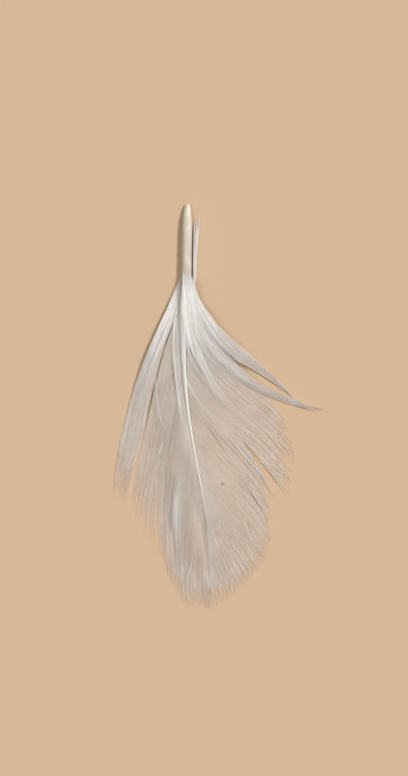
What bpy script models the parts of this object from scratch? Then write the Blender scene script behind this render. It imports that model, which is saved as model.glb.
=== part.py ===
"""White body feather, 76 mm long, lying face up on a surface.

The quill end points along +Y and the tip along -Y. The feather lies on z = 0, and its footprint is
centred on the origin. Lengths in this file are millimetres until MM turns them into Blender's metres.
"""

import math
import random
from collections import namedtuple

import bmesh
import bpy
import numpy as np

MM = 0.001

# Quill: a round calamus that thins into the rachis, resting on the surface at its thick end.
# Each row is a place on its centre line: x, y and radius.
QUILL_LINE = [
    (-5.80, 38.0, 0.40),
    (-5.80, 37.3, 0.60),
    (-5.84, 35.6, 0.79),
    (-5.88, 33.0, 0.88),
    (-5.94, 28.5, 0.90),
    (-6.00, 24.5, 0.88),
    (-6.15, 20.0, 0.72),
    (-6.40, 14.3, 0.48),
    (-6.45, 10.5, 0.37),
    (-6.30, 6.0, 0.30),
    (-5.90, 1.2, 0.26),
    (-5.15, -4.4, 0.23),
    (-4.20, -10.0, 0.20),
    (-3.30, -14.7, 0.17),
    (-2.55, -19.0, 0.15),
    (-2.10, -22.2, 0.13),
    (-1.90, -26.0, 0.11),
    (-1.80, -29.7, 0.09),
    (-1.75, -32.5, 0.06),
]
QUILL_STEPS = 44
QUILL_BEVEL_RESOLUTION = 4
QUILL_SIDES = 12
UMBILICUS_RADIUS = 0.24
UMBILICUS_DEPTH = 1.2

# The shaft rises off the surface between the calamus and the tip.
ARCH_HEIGHT = 2.2
ARCH_FROM_Y = 25.0
ARCH_TO_Y = -33.5
ARCH_POWER = 1.4

# Vanes: thin webs that leave the sides of the shaft, part into locks and come down flat on z = 0.
ROOT_GAP = 0.05
WEB_THICKNESS = 0.26
CROWN = 0.14
ATTACH_SHARE = 0.5
FLAT_FROM = 0.8
BULGE = 0.65
LOCK_SEGMENTS = 12
PARTED_CLEARANCE = 0.04
TAPER_FROM = 0.55
TIP_SHARE = 0.22
SHORTEST_LOCK = 0.955
TIP_LIFT = 0.8
LIFTED_SHARE = 0.3
LEFT_SEED = 11
RIGHT_SEED = 23

# A guide is the run of one barb as a cubic curve: the root's y on the shaft, two control points and
# the tip. A fan is a run of locks between its first and last guide, and neighbouring fans part at a
# split in the vane. half_width is the most that half of a lock spans once it has parted from the next.
Fan = namedtuple("Fan", "locks half_width guides")

LEFT_FANS = [
    Fan(5, 0.50, [
        (23.4, (-10.5, 17.0), (-17.7, 3.5), (-19.9, -15.6)),
        (19.0, (-11.0, 13.2), (-13.2, -1.6), (-17.4, -17.4)),
    ]),
    Fan(7, 0.48, [
        (18.6, (-10.8, 12.6), (-12.9, -2.2), (-16.7, -18.0)),
        (14.6, (-9.4, 6.5), (-11.6, -5.8), (-14.4, -23.4)),
        (11.6, (-7.5, 2.6), (-11.7, -9.8), (-11.7, -26.2)),
    ]),
    Fan(13, 0.46, [
        (10.4, (-7.2, 0.4), (-12.2, -11.6), (-10.3, -28.2)),
        (3.4, (-7.0, -6.2), (-10.9, -18.2), (-9.2, -32.6)),
        (-4.4, (-5.7, -12.8), (-8.9, -22.8), (-6.6, -36.3)),
        (-12.2, (-4.2, -19.2), (-6.0, -28.6), (-5.0, -37.5)),
        (-19.4, (-3.2, -23.6), (-4.1, -31.4), (-3.5, -37.9)),
        (-27.6, (-2.5, -30.0), (-2.7, -34.4), (-2.2, -38.0)),
    ]),
]

RIGHT_FANS = [
    Fan(3, 0.50, [
        (23.2, (-3.5, 15.9), (8.2, 10.3), (14.6, 1.3)),
        (21.6, (-4.6, 13.6), (4.4, 8.3), (13.0, 2.5)),
    ]),
    Fan(3, 0.45, [
        (20.6, (-3.4, 13.4), (5.6, 3.3), (20.0, -0.5)),
        (18.4, (-3.4, 10.6), (4.6, 1.2), (18.6, -0.9)),
    ]),
    Fan(4, 0.50, [
        (17.6, (-4.4, 8.0), (7.4, 4.0), (12.8, -3.0)),
        (13.8, (-3.4, 5.2), (6.5, 1.2), (14.3, -8.0)),
    ]),
    Fan(2, 0.45, [
        (13.2, (-3.3, 4.6), (6.3, 0.4), (14.3, -9.3)),
        (11.6, (-3.2, 3.0), (6.0, -0.6), (14.2, -11.0)),
    ]),
    Fan(5, 0.50, [
        (10.9, (-3.1, 2.4), (5.8, -1.2), (13.9, -12.0)),
        (5.4, (-2.8, -1.6), (4.8, -5.4), (13.4, -17.2)),
    ]),
    Fan(17, 0.80, [
        (4.4, (-2.6, -2.4), (5.2, -8.4), (9.9, -16.4)),
        (-1.0, (-1.6, -7.0), (6.4, -13.2), (10.0, -21.3)),
        (-6.3, (-1.0, -11.9), (7.4, -18.5), (9.9, -26.0)),
        (-11.0, (-0.7, -17.5), (5.9, -23.2), (8.8, -28.9)),
        (-16.6, (-0.7, -22.2), (4.6, -27.8), (6.5, -32.3)),
        (-21.3, (-1.0, -26.0), (2.5, -30.7), (3.8, -35.0)),
        (-26.0, (-1.4, -28.8), (1.0, -33.5), (1.2, -36.8)),
        (-29.7, (-1.5, -31.6), (-0.6, -35.3), (-0.8, -38.0)),
    ]),
]

# A few of the lowest barbs are folded back and lie beside the calamus: x, y and half width.
TUFT_LINE = [
    (-4.80, 22.6, 0.16),
    (-4.46, 24.4, 0.30),
    (-4.40, 27.5, 0.34),
    (-4.25, 31.0, 0.42),
    (-4.02, 34.0, 0.55),
    (-3.85, 36.3, 0.30),
]
TUFT_STEPS = 16
TUFT_THICKNESS = 0.7

KERATIN_COLOUR = (0.86, 0.80, 0.72, 1.0)
VANE_COLOUR = (0.86, 0.83, 0.80, 1.0)
TUFT_COLOUR = (0.88, 0.84, 0.79, 1.0)


def clear_scene():
    for obj in list(bpy.data.objects):
        bpy.data.objects.remove(obj, do_unlink=True)


def make_collection(name):
    collection = bpy.data.collections.new(name)
    bpy.context.scene.collection.children.link(collection)
    return collection


def make_material(name, colour, roughness):
    material = bpy.data.materials.new(name)
    material.use_nodes = True
    shader = material.node_tree.nodes["Principled BSDF"]
    shader.inputs["Base Color"].default_value = colour
    shader.inputs["Roughness"].default_value = roughness
    shader.inputs["Metallic"].default_value = 0.0
    return material


def smoothstep(low, high, value):
    share = np.clip((value - low) / (high - low), 0.0, 1.0)
    return share * share * (3.0 - 2.0 * share)


def through(rows, steps):
    """A smooth curve through the rows, read at steps + 1 evenly spaced places (Catmull-Rom)."""
    rows = np.array(rows, float)
    padded = np.vstack([2 * rows[0] - rows[1], rows, 2 * rows[-1] - rows[-2]])
    found = []
    for place in np.linspace(0.0, len(rows) - 1.0, steps + 1):
        k = min(int(place), len(rows) - 2)
        s = place - k
        a, b, c, d = padded[k:k + 4]
        found.append(0.5 * (2 * b + (c - a) * s + (2 * a - 5 * b + 4 * c - d) * s**2
                            + (3 * b - a - 3 * c + d) * s**3))
    return np.array(found)


QUILL = through(QUILL_LINE, QUILL_STEPS)


def quill_at(y):
    """x and radius of the quill where its centre line crosses y."""
    downwards = QUILL[::-1]
    return (np.interp(y, downwards[:, 1], downwards[:, 0]),
            np.interp(y, downwards[:, 1], downwards[:, 2]))


def arch(y):
    """How far the shaft's centre line stands above its resting height at y."""
    share = np.clip((ARCH_FROM_Y - y) / (ARCH_FROM_Y - ARCH_TO_Y), 0.0, 1.0)
    return ARCH_HEIGHT * np.sin(math.pi * share) ** ARCH_POWER


def quill_height(y):
    """Height of the quill's centre line at y. Its lowest facet is flat on z = 0 along the calamus."""
    return arch(y) + quill_at(y)[1] * math.cos(math.pi / QUILL_SIDES)


def lock_curve(fan, place, reach, side):
    """Points along the centre of one lock, from the side of the shaft to its tip: x, y and z."""
    stops = np.arange(len(fan.guides))
    flat = np.array([[root, *first, *second, *tip] for root, first, second, tip in fan.guides])
    root_y, *controls = [np.interp(place, stops, column) for column in flat.T]
    x, radius = quill_at(root_y)
    root = np.array([x + side * (radius + ROOT_GAP), root_y])
    first, second, tip = np.array(controls).reshape(3, 2)
    t = np.linspace(0.0, reach, LOCK_SEGMENTS + 1)[:, None]
    flat_points = ((1 - t) ** 3 * root + 3 * (1 - t) ** 2 * t * first
                   + 3 * (1 - t) * t**2 * second + t**3 * tip)
    t = t[:, 0]
    attach = arch(root_y) + ATTACH_SHARE * radius
    falling = attach * (1.0 - smoothstep(0.0, FLAT_FROM, t))
    bulging = BULGE * np.sin(math.pi * np.minimum(t / FLAT_FROM, 1.0)) ** 2
    return np.column_stack([flat_points, falling + bulging])


def keep_off_shaft(points, side):
    """Moves points that would touch the shaft out to its side, and keeps the two vanes apart below it."""
    x, radius = quill_at(points[:, 1])
    edge = x + side * (radius + ROOT_GAP)
    points[:, 0] = np.maximum(points[:, 0], edge) if side > 0 else np.minimum(points[:, 0], edge)
    return points


def taper():
    """The share of its full width that a lock has at each of its points."""
    t = np.linspace(0.0, 1.0, LOCK_SEGMENTS + 1)
    return 1.0 - (1.0 - TIP_SHARE) * smoothstep(TAPER_FROM, 1.0, t)


def vane_locks(fans, side, rng):
    """The centre curve and the half width along each lock of a vane, from its base to its tip."""
    curves, widths = [], []
    t = np.linspace(0.0, 1.0, LOCK_SEGMENTS + 1)
    for fan in fans:
        for k in range(fan.locks):
            place = (k + 0.5) / fan.locks * (len(fan.guides) - 1)
            reach = rng.uniform(SHORTEST_LOCK, 1.0) if k else 1.0
            curve = lock_curve(fan, place, reach, side)
            if rng.random() < LIFTED_SHARE:
                curve[:, 2] += rng.uniform(0.3, 1.0) * TIP_LIFT * smoothstep(FLAT_FROM, 1.0, t) ** 2
            curves.append(curve)
            widths.append(fan.half_width * taper())
    return curves, widths


def nearest_distance(points, line):
    """How far each point is, in plan, from a line given by its own points."""
    steps = np.linspace(0.0, len(line) - 1.0, 10 * len(line))
    places = np.arange(len(line))
    dense = np.column_stack([np.interp(steps, places, line[:, axis]) for axis in (0, 1)])
    return np.linalg.norm(points[:, None, :2] - dense[None], axis=2).min(axis=1)


def normal_toward(curve, other):
    """The unit vector across a lock at each of its points, in plan, on the side where the other lock is."""
    along = np.gradient(curve[:, :2], axis=0)
    normal = np.column_stack([-along[:, 1], along[:, 0]])
    normal /= np.linalg.norm(normal, axis=1)[:, None]
    middle = len(curve) // 2
    if normal[middle] @ (other[middle, :2] - curve[middle, :2]) < 0:
        normal = -normal
    return normal


def free_edge(curve, half_width, other):
    """A lock's edge beyond the split: half its width away, and less where the next lock is near."""
    room = nearest_distance(curve, other) / 2 - PARTED_CLEARANCE
    reach = np.minimum(half_width, np.maximum(room, 0.02))
    edge = curve.copy()
    edge[:, :2] += normal_toward(curve, other) * reach[:, None]
    return edge


def first_split(near, far, near_width, far_width):
    """The index after which two neighbouring locks are apart."""
    wide = (nearest_distance(near, far) > 2 * near_width) & (nearest_distance(far, near) > 2 * far_width)
    places = np.nonzero(wide)[0]
    places = places[places > 1]
    return int(places[0]) - 1 if len(places) else LOCK_SEGMENTS


def outer_edge(curve, fan, place, side):
    """The free side of a vane's first or last lock: it follows the fan's own outermost guide."""
    guide = lock_curve(fan, place, 1.0, side)
    return curve + (guide - curve) * taper()[:, None]


def sheet_of_locks(fans, curves, widths, side):
    """The vane's underside as one open mesh. Every lock is two strips of quads from edge to centre to edge.

    Neighbouring locks share the vertices of their common edge up to where they part.
    """
    sheet = bmesh.new()
    rise = sheet.verts.layers.float.new("rise")

    def column(points, thickness):
        made = []
        for x, y, z in keep_off_shaft(points, side):
            vert = sheet.verts.new((x * MM, y * MM, max(z, 0.0) * MM))
            vert[rise] = thickness * MM
            made.append(vert)
        return made

    left = column(outer_edge(curves[0], fans[0], 0.0, side), WEB_THICKNESS)
    for k, curve in enumerate(curves):
        centre = column(curve.copy(), WEB_THICKNESS + CROWN)
        if k + 1 < len(curves):
            following = curves[k + 1]
            split = first_split(curve, following, widths[k], widths[k + 1])
            shared = column(((curve + following) / 2)[:split + 1], WEB_THICKNESS)
            own = free_edge(curve, widths[k], following)[split + 1:]
            its = free_edge(following, widths[k + 1], curve)[split + 1:]
            right = shared + column(own, WEB_THICKNESS)
            next_left = shared + column(its, WEB_THICKNESS)
        else:
            right = column(outer_edge(curve, fans[-1], len(fans[-1].guides) - 1.0, side), WEB_THICKNESS)
            next_left = None
        for first, second in ((left, centre), (centre, right)):
            for j in range(LOCK_SEGMENTS):
                sheet.faces.new((first[j], first[j + 1], second[j + 1], second[j]))
        left = next_left
    return sheet, rise


def thicken(sheet, rise):
    """Closes an open sheet into a solid by raising a copy of it straight up, by each vertex's own rise."""
    made = bmesh.ops.extrude_face_region(sheet, geom=sheet.faces[:], use_keep_orig=True)
    for vert in made["geom"]:
        if isinstance(vert, bmesh.types.BMVert):
            vert.co.z += vert[rise]
    bmesh.ops.recalc_face_normals(sheet, faces=sheet.faces[:])


def object_from(sheet, name, material, collection):
    mesh = bpy.data.meshes.new(name)
    sheet.to_mesh(mesh)
    sheet.free()
    mesh.materials.append(material)
    obj = bpy.data.objects.new(name, mesh)
    collection.objects.link(obj)
    return obj


def build_vane(name, fans, side, seed, material, collection):
    rng = random.Random(seed)
    curves, widths = vane_locks(fans, side, rng)
    sheet, rise = sheet_of_locks(fans, curves, widths, side)
    thicken(sheet, rise)
    return object_from(sheet, name, material, collection)


def build_quill(material, collection, cutters):
    """Calamus and rachis in one tapering round tube, with the small opening in the calamus's end."""
    curve = bpy.data.curves.new("quill_line", "CURVE")
    curve.dimensions = "3D"
    curve.twist_mode = "Z_UP"
    curve.bevel_depth = MM
    curve.bevel_resolution = QUILL_BEVEL_RESOLUTION
    curve.use_fill_caps = True
    spline = curve.splines.new("POLY")
    spline.points.add(len(QUILL) - 1)
    for point, (x, y, radius) in zip(spline.points, QUILL):
        point.co = (x * MM, y * MM, float(quill_height(y)) * MM, 1.0)
        point.radius = radius
        point.tilt = math.pi / QUILL_SIDES
    line = bpy.data.objects.new("quill_line", curve)
    collection.objects.link(line)
    bpy.context.view_layer.update()
    evaluated = line.evaluated_get(bpy.context.evaluated_depsgraph_get())
    mesh = bpy.data.meshes.new_from_object(evaluated)
    mesh.name = "quill"
    welded = bmesh.new()
    welded.from_mesh(mesh)
    bmesh.ops.remove_doubles(welded, verts=welded.verts[:], dist=0.005 * MM)
    bmesh.ops.recalc_face_normals(welded, faces=welded.faces[:])
    welded.to_mesh(mesh)
    welded.free()
    bpy.data.objects.remove(line, do_unlink=True)
    mesh.materials.clear()
    mesh.materials.append(material)
    mesh.shade_smooth()
    mesh.set_sharp_from_angle(angle=math.radians(50))
    quill = bpy.data.objects.new("quill", mesh)
    collection.objects.link(quill)

    x, y, _ = QUILL[0]
    bpy.ops.mesh.primitive_cone_add(
        vertices=10, radius1=0.02 * MM, radius2=2 * UMBILICUS_RADIUS * MM, depth=2 * UMBILICUS_DEPTH * MM,
        location=(x * MM, y * MM, float(quill_height(y)) * MM), rotation=(-math.pi / 2, 0.0, 0.0))
    cutter = bpy.context.object
    cutter.name = "umbilicus_cutter"
    cutter.hide_render = True
    cutter.display_type = "WIRE"
    for owner in list(cutter.users_collection):
        owner.objects.unlink(cutter)
    cutters.objects.link(cutter)
    opening = quill.modifiers.new("umbilicus", "BOOLEAN")
    opening.operation = "DIFFERENCE"
    opening.object = cutter
    return quill


def build_tuft(material, collection):
    """The barbs folded back along the calamus, as one flat tapering lock on the surface."""
    sheet = bmesh.new()
    rise = sheet.verts.layers.float.new("rise")
    line = through(TUFT_LINE, TUFT_STEPS)
    along = np.gradient(line[:, :2], axis=0)
    across = np.column_stack([-along[:, 1], along[:, 0]])
    across /= np.linalg.norm(across, axis=1)[:, None]
    columns = []
    for offset, thickness in ((-1.0, 0.6), (0.0, 1.0), (1.0, 0.6)):
        column = []
        for (x, y, half_width), normal in zip(line, across):
            x, y = np.array([x, y]) + offset * half_width * normal
            vert = sheet.verts.new((x * MM, y * MM, 0.0))
            vert[rise] = thickness * TUFT_THICKNESS * MM
            column.append(vert)
        columns.append(column)
    for first, second in zip(columns, columns[1:]):
        for j in range(TUFT_STEPS):
            sheet.faces.new((first[j], first[j + 1], second[j + 1], second[j]))
    thicken(sheet, rise)
    return object_from(sheet, "folded_tuft", material, collection)


def build():
    clear_scene()
    feather = make_collection("white_feather")
    cutters = make_collection("cutters")
    keratin = make_material("quill_keratin", KERATIN_COLOUR, 0.35)
    vane = make_material("vane_white", VANE_COLOUR, 0.7)
    down = make_material("tuft_white", TUFT_COLOUR, 0.75)
    build_quill(keratin, feather, cutters)
    build_vane("left_vane", LEFT_FANS, -1, LEFT_SEED, vane, feather)
    build_vane("right_vane", RIGHT_FANS, 1, RIGHT_SEED, vane, feather)
    build_tuft(down, feather)


build()
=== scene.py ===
"""White body feather, lying face up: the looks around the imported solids.

The barbs and their barbules are real mesh. They follow nearly the same guide curves as the solid vanes,
so the visible web lies where the solids are. Lengths here are millimetres until MM makes them metres, and
heights are above the surface that the feather lies on.
"""

import math
from collections import namedtuple

import bpy
import numpy as np
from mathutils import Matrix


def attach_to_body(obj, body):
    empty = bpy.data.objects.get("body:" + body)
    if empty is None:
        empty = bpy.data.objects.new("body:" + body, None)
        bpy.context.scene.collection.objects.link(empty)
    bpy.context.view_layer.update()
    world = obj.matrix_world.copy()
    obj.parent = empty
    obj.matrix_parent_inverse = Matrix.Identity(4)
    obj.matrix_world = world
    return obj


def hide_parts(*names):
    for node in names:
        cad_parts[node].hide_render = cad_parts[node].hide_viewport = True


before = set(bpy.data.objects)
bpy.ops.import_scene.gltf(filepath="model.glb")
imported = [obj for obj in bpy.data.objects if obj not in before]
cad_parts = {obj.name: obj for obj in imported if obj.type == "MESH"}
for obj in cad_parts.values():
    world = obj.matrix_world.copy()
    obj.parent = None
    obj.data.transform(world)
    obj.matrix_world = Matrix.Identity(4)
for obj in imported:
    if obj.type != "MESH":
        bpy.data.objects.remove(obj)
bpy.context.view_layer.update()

MM = 0.001
SEED = 36

# Quill, the same line as the solid one: x, y and radius.
QUILL_LINE = [
    (-5.80, 38.0, 0.40),
    (-5.80, 37.3, 0.60),
    (-5.84, 35.6, 0.79),
    (-5.88, 33.0, 0.88),
    (-5.94, 28.5, 0.90),
    (-6.00, 24.5, 0.88),
    (-6.15, 20.0, 0.72),
    (-6.40, 14.3, 0.48),
    (-6.45, 10.5, 0.37),
    (-6.30, 6.0, 0.30),
    (-5.90, 1.2, 0.26),
    (-5.15, -4.4, 0.23),
    (-4.20, -10.0, 0.20),
    (-3.30, -14.7, 0.17),
    (-2.55, -19.0, 0.15),
    (-2.10, -22.2, 0.13),
    (-1.90, -26.0, 0.11),
    (-1.80, -29.7, 0.09),
    (-1.75, -32.5, 0.06),
]
QUILL_STEPS = 180
QUILL_SIDES = 28

# Rings of the pit in the quill's end, outermost first: the share of the end's radius, and the depth.
PIT_RINGS = [(0.60, 0.0), (0.48, 0.36), (0.10, 1.20)]

# The shaft rises off the surface between the calamus and the tip.
ARCH_HEIGHT = 2.2
ARCH_FROM_Y = 25.0
ARCH_TO_Y = -33.5
ARCH_POWER = 1.4

# The web's own form. Barbs leave the shaft's side, bulge up, and lie flat from FLAT_FROM of their length.
# The bulge is less for barbs whose roots are below BULGE_FALLS_FROM_Y, down to BULGE_LEAST_Y.
ATTACH_SHARE = 0.5
SHAFT_SIDE = 0.8
FLAT_FROM = 0.8
BULGE = 0.65
BULGE_AT_TIP = 0.22
BULGE_FALLS_FROM_Y = -8.0
BULGE_LEAST_Y = -29.0
WEB_MIDDLE = 0.20

# A guide is the run of one barb: its root's y on the shaft, two control points and its tip. barbs is how
# many grow in the fan, lock_size how many cling together in one lock, cling how tightly they do so at
# their tips, web how full of barbules they are, and full_to the share of a barb where they grow shorter.
Fan = namedtuple("Fan", "barbs lock_size cling web full_to guides")

LEFT_FANS = [
    Fan(54, 7, 0.55, 0.85, 0.70, [
        (23.4, (-10.5, 17.0), (-17.7, 3.5), (-19.9, -15.6)),
        (19.0, (-11.0, 13.2), (-13.2, -1.6), (-17.4, -17.4)),
    ]),
    Fan(156, 4, 0.60, 0.56, 0.80, [
        (18.6, (-10.8, 12.6), (-12.9, -2.2), (-16.7, -18.0)),
        (14.6, (-9.4, 6.5), (-11.6, -5.8), (-14.4, -23.4)),
        (11.6, (-7.5, 2.6), (-11.7, -9.8), (-11.7, -26.2)),
        (10.4, (-7.2, 0.4), (-12.2, -11.6), (-10.3, -28.2)),
        (3.4, (-7.0, -6.2), (-10.9, -18.2), (-9.2, -32.6)),
        (-4.4, (-5.7, -12.8), (-8.9, -22.8), (-6.6, -36.3)),
        (-12.2, (-4.2, -19.2), (-6.0, -28.6), (-5.0, -37.5)),
        (-19.4, (-3.2, -23.6), (-4.1, -31.4), (-3.5, -37.9)),
        (-27.6, (-2.5, -30.0), (-2.7, -34.4), (-2.2, -38.0)),
        (-32.0, (-1.9, -33.4), (-1.7, -35.6), (-1.3, -38.0)),
    ]),
]

RIGHT_FANS = [
    Fan(34, 8, 0.60, 0.75, 0.45, [
        (23.2, (-3.4, 15.5), (8.0, 9.4), (14.4, 1.4)),
        (21.6, (-4.2, 13.2), (5.0, 7.4), (13.0, 2.5)),
    ]),
    Fan(34, 17, 0.85, 0.75, 0.40, [
        (20.6, (-3.4, 13.0), (5.6, 3.2), (20.0, -0.5)),
        (18.4, (-3.4, 10.6), (4.6, 1.2), (18.6, -0.9)),
    ]),
    Fan(220, 4, 0.60, 0.74, 0.84, [
        (17.9, (-4.2, 8.6), (7.6, 4.6), (12.6, -2.4)),
        (13.8, (-3.4, 5.2), (6.5, 1.2), (14.3, -8.0)),
        (13.2, (-3.3, 4.6), (6.3, 0.4), (14.3, -9.3)),
        (11.6, (-3.2, 3.0), (6.0, -0.6), (14.2, -11.0)),
        (10.9, (-3.1, 2.4), (5.8, -1.2), (13.9, -12.0)),
        (5.4, (-2.8, -1.6), (4.8, -5.4), (13.4, -17.2)),
        (4.4, (-2.6, -2.4), (5.2, -8.4), (9.9, -16.4)),
        (-1.0, (-1.6, -7.0), (6.4, -13.2), (10.0, -21.3)),
        (-6.3, (-1.0, -11.9), (7.4, -18.5), (9.9, -26.0)),
        (-11.0, (-0.7, -17.5), (5.9, -23.2), (8.8, -28.9)),
        (-16.6, (-0.7, -22.2), (4.6, -27.8), (6.5, -32.3)),
        (-21.3, (-1.0, -26.0), (2.5, -30.7), (3.8, -35.0)),
        (-26.0, (-1.4, -28.8), (1.0, -33.5), (1.2, -36.8)),
        (-29.7, (-1.5, -31.6), (-0.6, -35.3), (-0.8, -38.0)),
        (-32.0, (-1.6, -33.4), (-1.7, -35.8), (-1.8, -38.0)),
    ]),
]

BARB_SEGMENTS = 28
BARB_RADIUS = 0.020
BARB_TIP_RADIUS = 0.012
BARB_WANDER = 0.05
BARB_WANDER_UP = 0.08
SHORTEST_BARB = 0.90
LONGEST_BARB = 1.01
LOWEST_BARB = 0.05

# Barbs are spread evenly between their guides, by the distance between these shares of their length.
MEASURED_AT = (0.6, 0.8)
LEAST_APART = 0.02
PLACE_JITTER = 0.25

# Barbs cling to the middle of their lock from CLING_FROM of their length, each with its own share of the
# fan's cling. Past TIP_FROM of a fan's places, at the feather's tip, they do so earlier and more.
CLING_FROM = 0.82
LEAST_CLING = 0.6
TIP_FROM = 0.74
EARLIER_AT_TIP = 0.22
MORE_CLING_AT_TIP = 0.40
LEAST_CLING_GAIN = 0.25

# A few free barbs belong to no lock, wander more and lift their ends.
FREE_BARBS = 0.06
FREE_WANDER = 2.6
FREE_LIFT = 0.5
FREE_LIFT_FROM = 0.7

# Barbules stand on both sides of a barb, at an angle to it and tilted up or down. They cover it from the
# first share of its length to the last, or up to its bare end, which is longest at the feather's tip.
BARBULE_SPACING = 0.056
BARBULE_LENGTH = 0.36
BARBULE_WIDTH = 0.025
BARBULE_FIRST = 0.02
BARBULE_LAST = 0.955
BARBULE_SHORTENED = 0.7
BARBULE_ANGLE = 38.0
BARBULE_ANGLE_SPREAD = 7.0
BARBULE_TILT = 0.22
LOWEST_BARBULE = 0.02
HIGHEST_BARBULE = 2.74
BARE_END = 3.3
BARE_END_ON_SIDES = 0.35

# Partings in the web, where the surface below shows: half width, whether it closes again before its end,
# and its line.
Parting = namedtuple("Parting", "half_width closes line")

PARTINGS = [
    Parting(0.13, True, [(-8.7, 14.4), (-10.1, 11.6), (-11.1, 9.9), (-12.6, 6.2)]),
    Parting(0.16, False, [(-12.3, 1.8), (-13.3, -1.4), (-14.9, -5.2), (-15.8, -9.0), (-16.6, -11.8),
                          (-17.1, -18.0)]),
    Parting(0.36, False, [(-8.6, -4.6), (-9.6, -6.7), (-10.8, -9.9), (-11.3, -14.8), (-11.5, -20.0),
                          (-11.7, -26.5)]),
    Parting(0.19, True, [(-8.6, 17.0), (-8.95, 12.0), (-8.75, 8.0), (-8.35, 4.4), (-7.8, 0.2),
                         (-7.0, -3.8)]),
    Parting(0.13, True, [(-8.6, -15.4), (-8.9, -18.6), (-9.5, -22.4)]),
    Parting(0.13, True, [(-13.2, 1.4), (-13.9, -2.4), (-14.2, -5.6)]),
    Parting(0.16, True, [(-5.9, 12.6), (-5.2, 10.4), (-4.2, 8.2), (-2.5, 5.0)]),
    Parting(0.16, True, [(-4.3, 8.9), (-3.2, 6.9), (-1.9, 5.0), (0.1, 2.8), (1.4, 1.6)]),
    Parting(0.14, True, [(-0.4, 9.6), (1.0, 7.6), (2.6, 5.4)]),
    Parting(0.10, True, [(-5.2, 3.0), (-3.6, 1.4), (-1.6, -1.2)]),
    Parting(0.18, True, [(-3.0, -2.4), (-1.2, -4.9), (0.6, -7.6), (3.1, -11.2)]),
    Parting(1.10, False, [(4.0, -5.8), (5.4, -7.5), (7.4, -10.2), (9.2, -12.9), (11.3, -16.2)]),
    Parting(0.50, False, [(8.2, -4.2), (10.0, -6.4), (12.0, -9.0), (13.8, -11.6)]),
    Parting(0.46, False, [(9.8, -3.2), (11.6, -5.4), (13.6, -8.4), (14.4, -9.8)]),
    Parting(0.85, True, [(2.6, 8.9), (5.3, 7.0), (8.0, 5.1), (10.8, 3.4), (13.8, 1.9)]),
]

PARTING_ROUNDNESS = 0.7
# Barbules whose middles lie within this share of a parting's width are left out.
CLEARED_SHARE = 0.85
POINTS_AT_ONCE = 4000

# Folds, locks and the tuft follow curves of this many steps.
STRAND_STEPS = 24

# Bundles of barbs that lie on the web as bright streaks and folds: half width, how far the middle stands
# up, strands and the line they follow.
Fold = namedtuple("Fold", "half_width crown strands line")

LEFT_FOLDS = [
    Fold(1.15, 0.03, 90, [(-6.0, -10.0), (-7.1, -15.0), (-7.7, -20.0), (-7.5, -25.4), (-7.0, -33.4)]),
    Fold(0.24, 0.05, 12, [(-4.3, -26.0), (-5.2, -29.8), (-5.8, -32.6), (-6.3, -36.0)]),
    Fold(0.24, 0.06, 24, [(-9.6, -4.4), (-10.8, -7.8), (-12.6, -12.0)]),
    Fold(0.16, 0.05, 12, [(-8.0, -5.0), (-8.7, -7.6), (-9.1, -10.2)]),
    Fold(0.20, 0.06, 26, [(-12.7, 9.8), (-13.4, 2.2), (-14.1, -3.2), (-15.6, -9.0)]),
    Fold(0.15, 0.06, 20, [(-11.9, 8.6), (-11.7, 3.2), (-11.3, -0.6), (-10.1, -5.0)]),
    Fold(0.10, 0.06, 14, [(-7.6, 21.0), (-8.3, 16.0), (-8.5, 11.3), (-8.1, 6.0), (-7.5, 0.6),
                          (-6.8, -3.8)]),
    Fold(0.22, 0.06, 18, [(-7.5, 4.2), (-7.1, 0.0), (-6.7, -3.2), (-6.0, -7.0)]),
]

RIGHT_FOLDS = [
    Fold(0.14, 0.05, 9, [(4.2, -13.0), (6.0, -15.7), (7.8, -18.4), (9.1, -21.0)]),
    Fold(0.12, 0.05, 6, [(3.8, -20.0), (4.9, -22.2), (6.4, -25.6)]),
    Fold(0.16, 0.06, 16, [(-0.6, -2.6), (2.4, -6.2), (4.6, -8.9), (7.7, -12.3), (9.8, -15.4)]),
    Fold(0.60, 0.08, 70, [(-5.2, 19.6), (-4.5, 14.6), (-3.4, 9.4), (-1.5, 5.2), (1.2, 1.6), (3.6, -0.8)]),
    Fold(0.45, 0.08, 50, [(-3.6, 15.4), (-1.2, 11.0), (1.8, 7.8), (5.2, 5.2), (9.0, 2.8), (13.0, 1.0)]),
]

FOLD_RADIUS = 0.024
# Strands lie at random across a fold. FOLD_SPREAD is their usual distance from its middle line and
# FOLD_WIDEST the largest, in half widths. At its ends a fold is drawn in to FOLD_END_WIDTH of its width.
FOLD_SPREAD = 0.5
FOLD_WIDEST = 1.2
FOLD_END_WIDTH = 0.35
FOLD_ROUNDNESS = 0.6
FOLD_DRIFT = 0.08
FOLD_LIFT = 0.03
# Strands of a fold begin within the first of these shares of its line, and end past the second.
FOLD_BEGINS = 0.4
FOLD_ENDS = 0.55

# Locks of loose barbs that lie over the roots of the vane: how many strands, the share of the length over
# which they begin and end, how far the middle stands up, and the lines of the two edges.
Band = namedtuple("Band", "strands begins ends crown left right")

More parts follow.
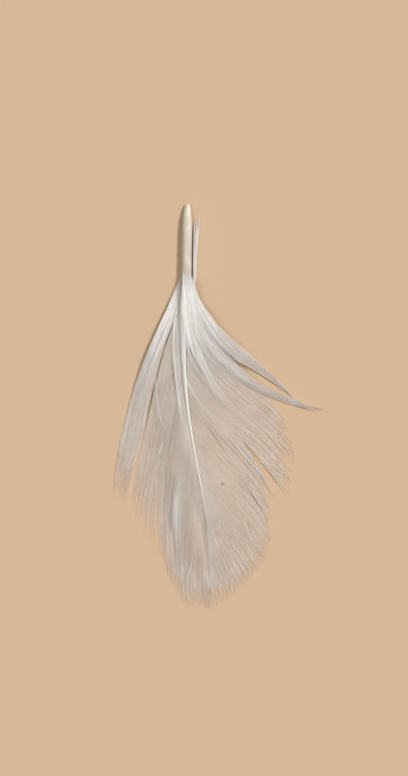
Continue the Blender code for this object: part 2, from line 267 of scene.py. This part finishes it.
LEFT_BANDS = [
    Band(110, 0.20, 0.85, 0.05,
         [(-7.0, 24.8), (-9.2, 19.4), (-11.2, 15.0), (-13.3, 10.2), (-15.3, 4.6), (-17.0, -1.4),
          (-18.6, -8.0)],
         [(-6.7, 24.0), (-8.2, 18.0), (-9.7, 13.6), (-11.1, 10.2), (-12.6, 6.4), (-14.0, 1.8),
          (-15.6, -5.0)]),
    Band(56, 0.12, 0.40, 0.02,
         [(-6.9, 24.0), (-8.0, 17.5), (-8.5, 13.0), (-8.4, 9.0), (-8.0, 5.4), (-7.5, 1.0), (-6.7, -3.4),
          (-5.5, -8.6)],
         [(-6.5, 23.6), (-6.7, 17.5), (-6.3, 13.0), (-6.2, 9.0), (-6.3, 5.4), (-6.2, 1.0), (-5.6, -3.4),
          (-4.9, -8.8)]),
]

RIGHT_BANDS = [
    Band(400, 0.20, 0.85, 0.06,
         [(-6.7, 25.4), (-6.8, 19.0), (-6.5, 15.0), (-6.1, 11.5), (-5.2, 8.2), (-3.4, 4.6), (-1.2, 1.6)],
         [(-5.1, 25.0), (-3.5, 20.2), (-1.6, 17.2), (1.1, 13.6), (4.3, 10.2), (7.8, 7.5), (11.0, 5.0)]),
    Band(150, 0.25, 0.75, 0.08,
         [(-6.6, 26.2), (-6.5, 20.0), (-6.2, 16.0), (-5.6, 12.4), (-4.6, 9.0), (-3.2, 6.0)],
         [(-5.3, 26.2), (-4.5, 20.0), (-3.6, 16.4), (-2.4, 13.0), (-0.8, 9.8), (1.4, 6.6)]),
]

BAND_RADIUS = 0.028
BAND_WANDER = 0.16
BAND_LIFT = 0.04
# Over the quill the locks keep its round form for ROUND_RADII to each side, and slope down from its top
# as far as DRAPE_RADII to the left and right, all in radii of the quill.
ROUND_RADII = 1.35
DRAPE_RADII = (2.4, 3.6)
DRAPE_FROM = 0.3

# The web's height is read from a grid of square cells, blurred with their neighbours a few times.
HEIGHT_CELL = 1.0
HEIGHT_CORNER = (-21.0, -39.0)
HEIGHT_CELLS = (44, 66)
HEIGHT_BLURS = 3

# The barbs folded back along the calamus: x, y and half width.
TUFT_LINE = [
    (-4.80, 22.2, 0.12),
    (-4.50, 24.4, 0.30),
    (-4.45, 27.5, 0.34),
    (-4.32, 31.0, 0.46),
    (-4.10, 34.0, 0.60),
    (-3.95, 36.3, 0.50),
]
TUFT_STRANDS = 70
TUFT_HEIGHT = 0.56
TUFT_LOWEST = 0.07
TUFT_RADIUS = 0.045
TUFT_WIDTH_SHARE = 0.85
# The fewest of the curve's points that a strand of the tuft runs through.
TUFT_SHORTEST = 15

FLOOR_COLOUR = (0.600, 0.430, 0.285, 1.0)
BARB_COLOUR = (0.815, 0.755, 0.71, 1.0)
BARB_SHADE = (0.75, 0.685, 0.635, 1.0)
# The locks' lighter white is partly painted highlight: besides their denser barbs, it stands in for the
# satin sheen on the dense neck.
LOCK_WHITE_WITH_HIGHLIGHT = (0.875, 0.865, 0.85, 1.0)
LOCK_SHADE_WITH_HIGHLIGHT = (0.84, 0.81, 0.785, 1.0)
FOLD_COLOUR = (0.86, 0.825, 0.795, 1.0)
FOLD_SHADE = (0.80, 0.75, 0.71, 1.0)
QUILL_COLOUR = (0.70, 0.645, 0.56, 1.0)
QUILL_SHADE = (0.59, 0.525, 0.44, 1.0)

SPECK_COLOUR = (0.16, 0.11, 0.08, 1.0)
SPECK_CENTRE = (0.75, -14.5)
SPECK_RADIUS = 0.34
SPECK_STRENGTH = 0.85

# The quill turns from horn to white pith between these places, and has fine lengthwise streaks.
PITH_COLOUR = (0.77, 0.74, 0.70, 1.0)
PITH_FROM_Y = 24.0
PITH_FULL_Y = 15.0
STREAK_SCALE = (5200.0, 160.0, 5200.0)
STREAK_DEPTH = 0.03

# The camera looks straight down on PICTURE_CENTRE. The picture takes in PICTURE_HEIGHT at the level of
# PICTURE_PLANE above the surface.
CAMERA_LENS = 85.0
CAMERA_SENSOR = 36.0
PICTURE_CENTRE = (-2.72, 3.47)
PICTURE_HEIGHT = 145.5
PICTURE_PLANE = 1.0
# Side of the square floor in metres.
FLOOR_SIZE = 8.0

ROOM_LIGHT = (1.0, 0.985, 0.96, 1.0)
ROOM_STRENGTH = 0.31


def smoothstep(low, high, value):
    """0 up to low, 1 from high on, and a smooth rise between them."""
    share = np.clip((value - low) / (high - low), 0.0, 1.0)
    return share * share * (3.0 - 2.0 * share)


def through(rows, steps):
    """A smooth curve through the rows, read at steps + 1 evenly spaced places (Catmull-Rom)."""
    rows = np.array(rows, float)
    padded = np.vstack([2 * rows[0] - rows[1], rows, 2 * rows[-1] - rows[-2]])
    found = []
    for place in np.linspace(0.0, len(rows) - 1.0, steps + 1):
        k = min(int(place), len(rows) - 2)
        s = place - k
        a, b, c, d = padded[k:k + 4]
        found.append(0.5 * (2 * b + (c - a) * s + (2 * a - 5 * b + 4 * c - d) * s**2
                            + (3 * b - a - 3 * c + d) * s**3))
    return np.array(found)


QUILL = through(QUILL_LINE, QUILL_STEPS)


def quill_at(y):
    """x and radius of the quill where its centre line crosses y."""
    downwards = QUILL[::-1]
    return (np.interp(y, downwards[:, 1], downwards[:, 0]),
            np.interp(y, downwards[:, 1], downwards[:, 2]))


def arch(y):
    """How far the shaft's centre line stands above its resting height at y."""
    share = np.clip((ARCH_FROM_Y - y) / (ARCH_FROM_Y - ARCH_TO_Y), 0.0, 1.0)
    return ARCH_HEIGHT * np.sin(math.pi * share) ** ARCH_POWER


def quill_height(y):
    """Height of the quill's centre line above the surface at y."""
    return arch(y) + quill_at(y)[1]


def guide_points(fan, place, t, side):
    """x, y and z along the barb that grows at a place between the fan's first and last guide."""
    stops = np.arange(len(fan.guides))
    flat = np.array([[root, *first, *second, *tip] for root, first, second, tip in fan.guides])
    root_y, *controls = [np.interp(place, stops, column) for column in flat.T]
    x, radius = quill_at(root_y)
    root = np.array([x + side * SHAFT_SIDE * radius, root_y])
    first, second, tip = np.array(controls).reshape(3, 2)
    u = t[:, None]
    plan = (1 - u) ** 3 * root + 3 * (1 - u) ** 2 * u * first + 3 * (1 - u) * u**2 * second + u**3 * tip
    attach = arch(root_y) + ATTACH_SHARE * radius
    height = attach * (1.0 - smoothstep(0.0, FLAT_FROM, t))
    bulge = BULGE + (BULGE_AT_TIP - BULGE) * smoothstep(-BULGE_FALLS_FROM_Y, -BULGE_LEAST_Y, -root_y)
    height += bulge * np.sin(math.pi * np.clip(t / FLAT_FROM, 0.0, 1.0)) ** 2
    return np.column_stack([plan, height + WEB_MIDDLE])


def keep_beside_shaft(points, side):
    """Moves points that would cross the shaft back to its own side."""
    x, radius = quill_at(points[:, 1])
    beyond = side * (x + side * SHAFT_SIDE * radius - points[:, 0])
    points[:, 0] += side * np.where(points[:, 1] > QUILL[-1, 1], np.maximum(beyond, 0.0), 0.0)
    return points


def wander(rng, t, size):
    """A slow sideways drift that is nothing at the root and grows towards the tip."""
    a, b = rng.normal(size=2)
    return size * t * (a * np.sin(math.pi * t) + 0.6 * b * np.sin(2 * math.pi * t) + 0.5 * a * t)


def across(points):
    """Unit vectors across a line of points, in plan."""
    along = np.gradient(points[:, :2], axis=0)
    normal = np.column_stack([-along[:, 1], along[:, 0]])
    return normal / np.maximum(np.linalg.norm(normal, axis=1), 1e-9)[:, None]


PARTING_STEPS = 59
PARTING_LINES = [(parting, through(parting.line, PARTING_STEPS)) for parting in PARTINGS]


def parting_room(parting, line, nearest):
    """Half the width of a parting at places along it: nothing at its upper end, and wider from there on."""
    share = nearest / (len(line) - 1.0)
    opening = np.sin(math.pi * share) ** PARTING_ROUNDNESS if parting.closes else share
    return parting.half_width * opening


def near_parting(parting, line, points):
    """The numbers of the points that lie in the box around a parting."""
    low, high = line.min(axis=0) - parting.half_width, line.max(axis=0) + parting.half_width
    return np.nonzero(np.all((points[:, :2] > low) & (points[:, :2] < high), axis=1))[0]


def draw_aside(points):
    """Moves points that lie in a parting out to its nearer side."""
    for parting, line in PARTING_LINES:
        inside = near_parting(parting, line, points)
        if not len(inside):
            continue
        away = points[inside, None, :2] - line[None]
        distance = np.linalg.norm(away, axis=2)
        nearest = distance.argmin(axis=1)
        row = np.arange(len(nearest))
        distance = distance[row, nearest]
        push = np.maximum(parting_room(parting, line, nearest) - distance, 0.0)
        points[inside, :2] += away[row, nearest] / np.maximum(distance, 1e-3)[:, None] * push[:, None]
    return points


def in_parting(points):
    """Which of the points lie well inside a parting."""
    found = np.zeros(len(points), bool)
    for parting, line in PARTING_LINES:
        near = near_parting(parting, line, points)
        for chunk in np.array_split(near, max(1, len(near) // POINTS_AT_ONCE)):
            distance = np.linalg.norm(points[chunk, None, :2] - line[None], axis=2)
            room = CLEARED_SHARE * parting_room(parting, line, distance.argmin(axis=1))
            found[chunk] |= distance.min(axis=1) < room
    return found


def spread_places(fan, side, rng):
    """Places between the fan's guides, so that its barbs stand about equally far apart.

    The distance between two guides is measured across them, on the outer part of their length.
    """
    stops = np.arange(len(fan.guides))
    pairs = np.array([guide_points(fan, stop, np.array(MEASURED_AT), side)[:, :2] for stop in stops])
    middles = pairs.mean(axis=1)
    along = pairs[:, 1] - pairs[:, 0]
    along /= np.linalg.norm(along, axis=1)[:, None]
    mean_along = (along[1:] + along[:-1]) / 2
    step = np.diff(middles, axis=0)
    sideways = np.abs(step[:, 0] * mean_along[:, 1] - step[:, 1] * mean_along[:, 0])
    apart = np.concatenate([[0.0], np.cumsum(sideways + LEAST_APART)])
    jitter = rng.uniform(-PLACE_JITTER, PLACE_JITTER, fan.barbs)
    even = (np.arange(fan.barbs) + 0.5 + jitter) / fan.barbs
    return np.interp(even * apart[-1], apart, stops)


def vane_barbs(fans, side, rng):
    """Every barb of a vane: its points, its radius along them, its fan and the share with barbules."""
    barbs = []
    for fan in fans:
        places = spread_places(fan, side, rng)
        for index, place in enumerate(places):
            first = index // fan.lock_size * fan.lock_size
            middle = places[first:first + fan.lock_size].mean()
            free = rng.random() < FREE_BARBS
            reach = LONGEST_BARB - (LONGEST_BARB - SHORTEST_BARB) * rng.random() ** 1.5
            t = np.linspace(0.0, reach, BARB_SEGMENTS + 1)
            towards_tip = smoothstep(TIP_FROM, 1.0, place / (len(fan.guides) - 1))
            cling = 0.0
            if not free:
                least = LEAST_CLING + LEAST_CLING_GAIN * towards_tip
                cling = (fan.cling + MORE_CLING_AT_TIP * towards_tip) * rng.uniform(least, 1.0)
            share = cling * smoothstep(CLING_FROM - EARLIER_AT_TIP * towards_tip, 1.0, t)[:, None]
            points = guide_points(fan, place, t, side) * (1 - share)
            points += guide_points(fan, middle, t, side) * share
            sideways = wander(rng, t, BARB_WANDER * (FREE_WANDER if free else 1.0))
            points[:, :2] += across(points) * sideways[:, None]
            points[:, 2] += wander(rng, t, BARB_WANDER_UP)
            if free:
                points[:, 2] += FREE_LIFT * rng.random() * smoothstep(FREE_LIFT_FROM, 1.0, t) ** 2
            points = draw_aside(keep_beside_shaft(points, side))
            points[:, 2] = np.maximum(points[:, 2], LOWEST_BARB)
            radius = BARB_TIP_RADIUS + (BARB_RADIUS - BARB_TIP_RADIUS) * np.clip(1 - t, 0, 1) ** 0.6
            length = np.linalg.norm(np.diff(points, axis=0), axis=1).sum()
            at_tip = BARE_END_ON_SIDES + (1.0 - BARE_END_ON_SIDES) * towards_tip
            bare = BARE_END * at_tip * rng.uniform(0.8, 1.2)
            covered = min(BARBULE_LAST, 1.0 - bare / length)
            barbs.append((points, radius * rng.uniform(0.8, 1.25), fan, covered))
    return barbs


def tubes(strands, sides=3):
    """Vertices and faces of tapering tubes, one for each (points, radius) strand."""
    verts, faces, start = [], [], 0
    turn = 2 * math.pi * np.arange(sides) / sides + math.pi / 2
    for points, radius in strands:
        along = np.gradient(points, axis=0)
        along /= np.maximum(np.linalg.norm(along, axis=1), 1e-9)[:, None]
        side = np.column_stack([-along[:, 1], along[:, 0], np.zeros(len(along))])
        side /= np.maximum(np.linalg.norm(side, axis=1), 1e-9)[:, None]
        up = np.cross(along, side)
        outwards = np.cos(turn)[None, :, None] * side[:, None] + np.sin(turn)[None, :, None] * up[:, None]
        rings = points[:, None] + radius[:, None, None] * outwards
        count = len(points)
        verts.append(rings.reshape(-1, 3))
        ring = start + sides * np.arange(count - 1)[:, None]
        corner = np.arange(sides)[None]
        following = (corner + 1) % sides
        quads = np.stack([ring + corner, ring + sides + corner,
                          ring + sides + following, ring + following], axis=2)
        faces.append(quads.reshape(-1, 4))
        start += sides * count
    return np.concatenate(verts), np.concatenate(faces).tolist()


def barbules(barbs, rng):
    """Thin tapering blades along both sides of every barb, as loose triangles."""
    found = []
    for points, _, fan, covered in barbs:
        steps = np.linalg.norm(np.diff(points, axis=0), axis=1)
        length = np.concatenate([[0.0], np.cumsum(steps)])
        count = int(length[-1] / BARBULE_SPACING * fan.web)
        for hand in (-1.0, 1.0):
            even = (np.arange(count) + rng.uniform(0.0, 1.0, count)) / count
            share = BARBULE_FIRST + (covered - BARBULE_FIRST) * even
            place = share * length[-1]
            base = np.column_stack([np.interp(place, length, points[:, k]) for k in range(3)])
            along = np.column_stack([np.interp(place, length, np.gradient(points[:, k], length))
                                     for k in range(3)])
            along /= np.linalg.norm(along, axis=1)[:, None]
            side = np.column_stack([-along[:, 1], along[:, 0], np.zeros(count)])
            side /= np.linalg.norm(side, axis=1)[:, None]
            angle = np.radians(BARBULE_ANGLE + rng.normal(0.0, BARBULE_ANGLE_SPREAD, count))[:, None]
            tilt = rng.normal(0.0, BARBULE_TILT, count)[:, None]
            heading = along * np.cos(angle) + hand * side * np.sin(angle) + np.array([0.0, 0.0, 1.0]) * tilt
            ending = smoothstep(fan.full_to, 1.0, share * BARBULE_LAST / covered)
            reach = BARBULE_LENGTH * (1.0 - BARBULE_SHORTENED * ending)
            reach *= rng.uniform(0.7, 1.15, count)
            width = BARBULE_WIDTH * rng.uniform(0.75, 1.2, count)
            tip = base + heading * reach[:, None]
            tip[:, 2] = np.clip(tip[:, 2], LOWEST_BARBULE, HIGHEST_BARBULE)
            half = along * (width / 2)[:, None]
            blades = np.stack([base - half, base + half, tip], axis=1)
            found.append(blades[~in_parting((base + 2 * tip) / 3)])
    verts = np.concatenate(found).reshape(-1, 3)
    return verts, np.arange(len(verts)).reshape(-1, 3).tolist()


def bundle(fold, rng, height):
    """Fine strands that run together along a line, spread over its width and drawn in at both ends."""
    line = through(fold.line, STRAND_STEPS)
    normal = across(line)
    t = np.linspace(0.0, 1.0, len(line))
    strands = []
    for _ in range(fold.strands):
        offset = np.clip(rng.normal(0.0, FOLD_SPREAD), -FOLD_WIDEST, FOLD_WIDEST)
        u = np.linspace(rng.uniform(0.0, FOLD_BEGINS), rng.uniform(FOLD_ENDS, 1.0), len(line))
        rounded = np.sin(math.pi * np.clip(u, 0.02, 0.98)) ** FOLD_ROUNDNESS
        spread = FOLD_END_WIDTH + (1.0 - FOLD_END_WIDTH) * rounded
        drift = offset * fold.half_width * spread + FOLD_DRIFT * rng.normal() * np.sin(math.pi * u)
        x = np.interp(u, t, line[:, 0]) + np.interp(u, t, normal[:, 0]) * drift
        y = np.interp(u, t, line[:, 1]) + np.interp(u, t, normal[:, 1]) * drift
        lift = fold.crown * np.maximum(1.0 - offset**2, 0.0) * np.sin(math.pi * np.clip(u, 0.0, 1.0))
        z = height(x, y) + FOLD_LIFT + lift * rng.uniform(0.3, 1.0)
        thin = FOLD_RADIUS * (0.25 + 0.75 * np.sin(math.pi * np.linspace(0.02, 0.98, len(u))))
        strands.append((np.column_stack([x, y, z]), thin * rng.uniform(0.7, 1.2)))
    return strands


def height_of(barbs):
    """A function that gives the web's height at x, y, read from the barbs around it."""
    cloud = np.concatenate([barb[0] for barb in barbs])
    low = np.array(HEIGHT_CORNER)
    total = np.zeros(HEIGHT_CELLS)
    weight = np.zeros(HEIGHT_CELLS)
    column, row = ((cloud[:, :2] - low) / HEIGHT_CELL).astype(int).T
    np.add.at(total, (column, row), cloud[:, 2])
    np.add.at(weight, (column, row), 1.0)
    for _ in range(HEIGHT_BLURS):
        total = sum(np.roll(total, shift, axis) for axis in (0, 1) for shift in (-1, 0, 1))
        weight = sum(np.roll(weight, shift, axis) for axis in (0, 1) for shift in (-1, 0, 1))
    surface = total / np.maximum(weight, 1e-9)

    def height(x, y):
        place_x = np.clip((x - low[0]) / HEIGHT_CELL - 0.5, 0.0, HEIGHT_CELLS[0] - 1.001)
        place_y = np.clip((y - low[1]) / HEIGHT_CELL - 0.5, 0.0, HEIGHT_CELLS[1] - 1.001)
        i, j = place_x.astype(int), place_y.astype(int)
        a, b = place_x - i, place_y - j
        return ((1 - a) * (1 - b) * surface[i, j] + a * (1 - b) * surface[i + 1, j]
                + (1 - a) * b * surface[i, j + 1] + a * b * surface[i + 1, j + 1])

    return height


def over_quill(x, y, web):
    """The height of a strand at x, y: on the web, or drawn over the quill and down its sides."""
    middle, radius = quill_at(y)
    share = np.clip(np.abs(x - middle) / (ROUND_RADII * radius), 0.0, 1.0)
    round_top = np.where(share < 1.0, quill_height(y) + radius * np.sqrt(1.0 - share**2), 0.0)
    reach = np.where(x < middle, DRAPE_RADII[0], DRAPE_RADII[1])
    drawn = 1.0 - smoothstep(DRAPE_FROM, 1.0, np.abs(x - middle) / (reach * radius))
    draped = web + (quill_height(y) + radius - web) * drawn
    return np.maximum(np.maximum(web, round_top), draped)


def lock(band, rng, height):
    """Strands that run side by side between two edges, and begin and end at their own places."""
    left, right = through(band.left, STRAND_STEPS), through(band.right, STRAND_STEPS)
    t = np.linspace(0.0, 1.0, len(left))
    strands = []
    for _ in range(band.strands):
        place = rng.uniform()
        u = np.linspace(band.begins * rng.random(), 1.0 - band.ends * rng.random(), len(t))
        x, y = [np.interp(u, t, left[:, k] * (1 - place) + right[:, k] * place) for k in (0, 1)]
        points = np.column_stack([x, y, np.zeros(len(t))])
        points[:, :2] += across(points) * wander(rng, u, BAND_WANDER)[:, None]
        points = draw_aside(points)
        x, y = points[:, 0], points[:, 1]
        lift = band.crown * (1.0 - (2 * place - 1) ** 2) * rng.uniform(0.3, 1.0) * np.sin(math.pi * u)
        points[:, 2] = over_quill(x, y, height(x, y) + BAND_LIFT) + lift
        thin = BAND_RADIUS * (0.3 + 0.7 * np.sin(math.pi * np.linspace(0.05, 0.98, len(t))))
        strands.append((points, thin * rng.uniform(0.7, 1.2)))
    return strands


def tuft_strands(rng):
    """The barbs folded back along the right side of the calamus, lying on the surface."""
    line = through(TUFT_LINE, STRAND_STEPS)
    normal = across(line)
    strands = []
    for _ in range(TUFT_STRANDS):
        offset = rng.uniform(-TUFT_WIDTH_SHARE, TUFT_WIDTH_SHARE)
        level = rng.uniform(0.1, 1.0) * (1.0 - 0.5 * offset**2)
        last = int(rng.integers(TUFT_SHORTEST, len(line)))
        part = line[:last]
        u = np.linspace(0.0, 1.0, len(part))
        plan = part[:, :2] + normal[:last] * (offset * part[:, 2])[:, None]
        rounded = 0.35 + 0.65 * np.sin(math.pi * np.clip(u * 0.9 + 0.05, 0, 1)) ** 0.5
        z = TUFT_LOWEST + TUFT_HEIGHT * level * rounded
        strands.append((np.column_stack([plan, z]), TUFT_RADIUS * (1.0 - 0.7 * u**2)))
    return strands


def mesh_piece(name, verts, faces, material, slot, smooth=True):
    """A mesh in the part's one body, with its material. The slot argument is not used."""
    mesh = bpy.data.meshes.new(name)
    mesh.from_pydata((verts * MM).tolist(), [], faces)
    mesh.update()
    if smooth:
        mesh.shade_smooth()
    mesh.materials.append(material)
    obj = bpy.data.objects.new(name, mesh)
    bpy.context.scene.collection.objects.link(obj)
    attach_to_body(obj, "root")
    return obj


def keratin_material(name, light, shade, scale, roughness, subsurface=0.0):
    """White keratin: two close tones in soft patches, with a fine grain in the roughness."""
    material = bpy.data.materials.new(name)
    material.use_nodes = True
    nodes, links = material.node_tree.nodes, material.node_tree.links
    shader = nodes["Principled BSDF"]
    place = nodes.new("ShaderNodeTexCoord")
    patches = nodes.new("ShaderNodeTexNoise")
    patches.inputs["Scale"].default_value = scale
    patches.inputs["Detail"].default_value = 3.0
    links.new(place.outputs["Object"], patches.inputs["Vector"])
    ramp = nodes.new("ShaderNodeValToRGB")
    ramp.color_ramp.elements[0].position = 0.36
    ramp.color_ramp.elements[0].color = shade
    ramp.color_ramp.elements[1].position = 0.62
    ramp.color_ramp.elements[1].color = light
    links.new(patches.outputs["Fac"], ramp.inputs["Fac"])
    links.new(ramp.outputs["Color"], shader.inputs["Base Color"])
    grain = nodes.new("ShaderNodeTexNoise")
    grain.inputs["Scale"].default_value = 6.0 * scale
    grain.inputs["Detail"].default_value = 2.0
    links.new(place.outputs["Object"], grain.inputs["Vector"])
    spread = nodes.new("ShaderNodeMapRange")
    spread.inputs["To Min"].default_value = roughness - 0.08
    spread.inputs["To Max"].default_value = roughness + 0.10
    links.new(grain.outputs["Fac"], spread.inputs["Value"])
    links.new(spread.outputs["Result"], shader.inputs["Roughness"])
    shader.inputs["Subsurface Weight"].default_value = subsurface
    shader.inputs["Subsurface Scale"].default_value = 0.0006
    shader.inputs["Subsurface Radius"].default_value = (1.0, 0.85, 0.7)
    shader.inputs["Specular IOR Level"].default_value = 0.4
    return material


def add_speck(material):
    """A small dark speck of dirt on the web, at SPECK_CENTRE in plan."""
    nodes, links = material.node_tree.nodes, material.node_tree.links
    shader = nodes["Principled BSDF"]
    clean = shader.inputs["Base Color"].links[0].from_socket
    place = nodes.new("ShaderNodeTexCoord")
    flatten = nodes.new("ShaderNodeMapping")
    flatten.inputs["Scale"].default_value = (1.0, 1.0, 0.0)
    links.new(place.outputs["Object"], flatten.inputs["Vector"])
    away = nodes.new("ShaderNodeVectorMath")
    away.operation = "DISTANCE"
    away.inputs[1].default_value = (SPECK_CENTRE[0] * MM, SPECK_CENTRE[1] * MM, 0.0)
    links.new(flatten.outputs["Vector"], away.inputs[0])
    fade = nodes.new("ShaderNodeMapRange")
    fade.inputs["From Min"].default_value = 0.5 * SPECK_RADIUS * MM
    fade.inputs["From Max"].default_value = SPECK_RADIUS * MM
    fade.inputs["To Min"].default_value = SPECK_STRENGTH
    fade.inputs["To Max"].default_value = 0.0
    links.new(away.outputs["Value"], fade.inputs["Value"])
    dirt = nodes.new("ShaderNodeMix")
    dirt.data_type = "RGBA"
    dirt.inputs["B"].default_value = SPECK_COLOUR
    links.new(fade.outputs["Result"], dirt.inputs["Factor"])
    links.new(clean, dirt.inputs["A"])
    links.new(dirt.outputs["Result"], shader.inputs["Base Color"])


def quill_material():
    """Translucent horn on the calamus that turns to white pith along the rachis, with fine streaks."""
    material = keratin_material("quill_horn", QUILL_COLOUR, QUILL_SHADE, scale=380.0, roughness=0.34,
                                subsurface=0.25)
    nodes, links = material.node_tree.nodes, material.node_tree.links
    shader = nodes["Principled BSDF"]
    patches = shader.inputs["Base Color"].links[0].from_socket
    place = nodes.new("ShaderNodeTexCoord")
    stretch = nodes.new("ShaderNodeMapping")
    stretch.inputs["Scale"].default_value = STREAK_SCALE
    links.new(place.outputs["Object"], stretch.inputs["Vector"])
    streaks = nodes.new("ShaderNodeTexNoise")
    streaks.inputs["Scale"].default_value = 1.0
    links.new(stretch.outputs["Vector"], streaks.inputs["Vector"])
    parts = nodes.new("ShaderNodeSeparateXYZ")
    links.new(place.outputs["Object"], parts.inputs["Vector"])
    along = nodes.new("ShaderNodeMapRange")
    along.inputs["From Min"].default_value = PITH_FROM_Y * MM
    along.inputs["From Max"].default_value = PITH_FULL_Y * MM
    links.new(parts.outputs["Y"], along.inputs["Value"])
    white = nodes.new("ShaderNodeMix")
    white.data_type = "RGBA"
    white.inputs["B"].default_value = PITH_COLOUR
    links.new(along.outputs["Result"], white.inputs["Factor"])
    links.new(patches, white.inputs["A"])
    links.new(white.outputs["Result"], shader.inputs["Base Color"])
    bump = nodes.new("ShaderNodeBump")
    bump.inputs["Strength"].default_value = 0.35
    bump.inputs["Distance"].default_value = STREAK_DEPTH * MM
    links.new(streaks.outputs["Fac"], bump.inputs["Height"])
    links.new(bump.outputs["Normal"], shader.inputs["Normal"])
    return material


def floor_material():
    """One plain matt colour."""
    material = bpy.data.materials.new("floor_paper")
    material.use_nodes = True
    shader = material.node_tree.nodes["Principled BSDF"]
    shader.inputs["Base Color"].default_value = FLOOR_COLOUR
    shader.inputs["Roughness"].default_value = 0.9
    return material


def build_quill():
    """A round quill with a small pit in its end, closed at the pit's bottom and at the tip."""
    turn = 2 * math.pi * np.arange(QUILL_SIDES) / QUILL_SIDES
    rings = []
    for x, y, radius in QUILL:
        z = quill_height(y)
        rings.append(np.column_stack([x + radius * np.cos(turn), np.full(QUILL_SIDES, y),
                                      z + radius * np.sin(turn)]))
    x, y, radius = QUILL[0]
    z = quill_height(y)
    for share, depth in PIT_RINGS:
        rings.insert(0, np.column_stack([x + share * radius * np.cos(turn), np.full(QUILL_SIDES, y - depth),
                                         z + share * radius * np.sin(turn)]))
    count = len(rings)
    verts = np.concatenate(rings)
    ring = QUILL_SIDES * np.arange(count - 1)[:, None]
    corner = np.arange(QUILL_SIDES)[None]
    following = (corner + 1) % QUILL_SIDES
    quads = np.stack([ring + corner, ring + following, ring + QUILL_SIDES + following,
                      ring + QUILL_SIDES + corner], axis=2).reshape(-1, 4)
    pit_bottom = list(range(QUILL_SIDES))[::-1]
    tip_end = list(range(len(verts) - QUILL_SIDES, len(verts)))
    faces = quads.tolist() + [pit_bottom, tip_end]
    piece = mesh_piece("quill_horn", verts, faces, quill_material(), "quill")
    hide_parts("quill")


def build_feather():
    """The quill, then each vane with its barbs, barbules, folds and locks, and the folded barbs."""
    rng = np.random.default_rng(SEED)
    web = keratin_material("barb_white", BARB_COLOUR, BARB_SHADE, scale=260.0, roughness=0.55)
    add_speck(web)
    # Painted highlight in part: the locks and the folded barbs get a lighter white than the web.
    bright_with_highlight = keratin_material("lock_white_with_highlight", LOCK_WHITE_WITH_HIGHLIGHT, LOCK_SHADE_WITH_HIGHLIGHT, scale=300.0, roughness=0.5)
    folded = keratin_material("fold_white", FOLD_COLOUR, FOLD_SHADE, scale=300.0, roughness=0.5)
    build_quill()
    for name, fans, folds, bands, side in (("left", LEFT_FANS, LEFT_FOLDS, LEFT_BANDS, -1),
                                           ("right", RIGHT_FANS, RIGHT_FOLDS, RIGHT_BANDS, 1)):
        barbs = vane_barbs(fans, side, rng)
        ribs = mesh_piece(f"{name}_barbs", *tubes([barb[:2] for barb in barbs]), web, "vane")
        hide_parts(f"{name}_vane")
        mesh_piece(f"{name}_barbules", *barbules(barbs, rng), web, "vane", smooth=False)
        height = height_of(barbs)
        strands = [strand for fold in folds for strand in bundle(fold, rng, height)]
        mesh_piece(f"{name}_folds", *tubes(strands), folded, "vane")
        strands = [strand for band in bands for strand in lock(band, rng, height)]
        mesh_piece(f"{name}_locks", *tubes(strands), bright_with_highlight, "vane")
    tuft = mesh_piece("folded_barbs", *tubes(tuft_strands(rng), 5), bright_with_highlight, "tuft")
    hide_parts("folded_tuft")


def soft_light(name, towards, strength, spread, colour):
    """Even light from one direction, with shadow edges as soft as the spread in degrees."""
    light = bpy.data.lights.new(name, "SUN")
    light.energy = strength
    light.angle = math.radians(spread)
    light.color = colour
    obj = bpy.data.objects.new(name, light)
    bpy.context.scene.collection.objects.link(obj)
    across_floor = math.hypot(towards[0], towards[1])
    obj.rotation_euler = (math.atan2(across_floor, towards[2]), 0.0,
                          math.atan2(towards[1], towards[0]) + math.pi / 2)


def build_stage():
    """The floor, a key light from the upper right, a soft fill light and an even light from all round."""
    bpy.ops.mesh.primitive_plane_add(size=FLOOR_SIZE, location=(0.0, 0.0, 0.0))
    floor = bpy.context.object
    floor.name = "floor"
    floor.data.materials.append(floor_material())
    soft_light("key", towards=(0.56, 0.48, 0.68), strength=2.75, spread=9.0, colour=(1.0, 0.98, 0.95))
    soft_light("fill", towards=(-0.50, -0.14, 0.86), strength=0.80, spread=48.0, colour=(1.0, 0.985, 0.965))
    world = bpy.data.worlds.new("studio")
    world.use_nodes = True
    background = world.node_tree.nodes["Background"]
    background.inputs["Color"].default_value = ROOM_LIGHT
    background.inputs["Strength"].default_value = ROOM_STRENGTH
    bpy.context.scene.world = world
    bpy.context.scene.view_settings.view_transform = "Standard"


def build_camera():
    """A camera straight above the feather, which frames it as the photo does."""
    data = bpy.data.cameras.new("camera")
    data.lens = CAMERA_LENS
    data.sensor_width = CAMERA_SENSOR
    camera = bpy.data.objects.new("camera", data)
    bpy.context.scene.collection.objects.link(camera)
    distance = PICTURE_HEIGHT * CAMERA_LENS / CAMERA_SENSOR
    camera.location = (PICTURE_CENTRE[0] * MM, PICTURE_CENTRE[1] * MM, (distance + PICTURE_PLANE) * MM)
    bpy.context.scene.camera = camera


build_feather()
build_stage()
build_camera()
